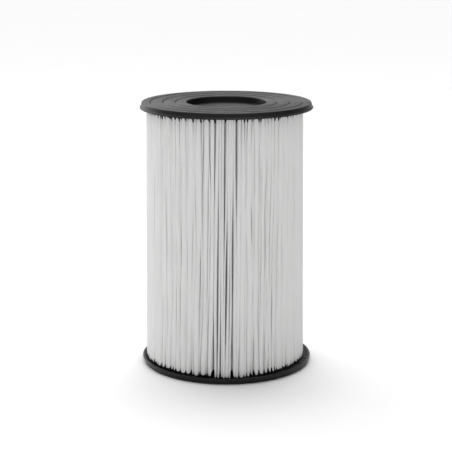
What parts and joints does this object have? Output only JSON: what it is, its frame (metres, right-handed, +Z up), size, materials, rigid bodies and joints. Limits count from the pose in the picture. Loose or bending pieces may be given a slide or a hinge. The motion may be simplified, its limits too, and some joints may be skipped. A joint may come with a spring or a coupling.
{
  "type": "pleated filter cartridge",
  "caption": "Pleated pool or spa filter cartridge: a round pack of white pleated polyester between two black moulded end caps, open at the bottom and closed at the top.",
  "frame": {"origin": "centre of the outer face of the bottom (open) end cap, which the cartridge stands on", "axes": "+Z up along the cartridge's axis, from the open cap to the closed cap; -Y is the front, where the side seam of the pleated sheet is"},
  "size_m": [0.2196, 0.2196, 0.34],
  "materials": {
    "cap_plastic": "black moulded plastic, satin, with a faint moulded grain",
    "potting": "black poured potting, uneven",
    "core_plastic": "black moulded plastic, satin",
    "filter_media": "white spun-bonded polyester, matt, fine fibres with small bond points",
    "seam_bond": "dull off-white hot-melt strip"
  },
  "bodies": {
    "root": {"bottom_end_cap": "cap_plastic", "top_end_cap": "cap_plastic", "bottom_potting_ring": "potting", "top_potting_ring": "potting", "core_section_bottom": "core_plastic", "core_section_middle": "core_plastic", "core_section_top": "core_plastic", "pleated_media": "filter_media", "side_seam_strip": "seam_bond"}
  },
  "joints": []
}
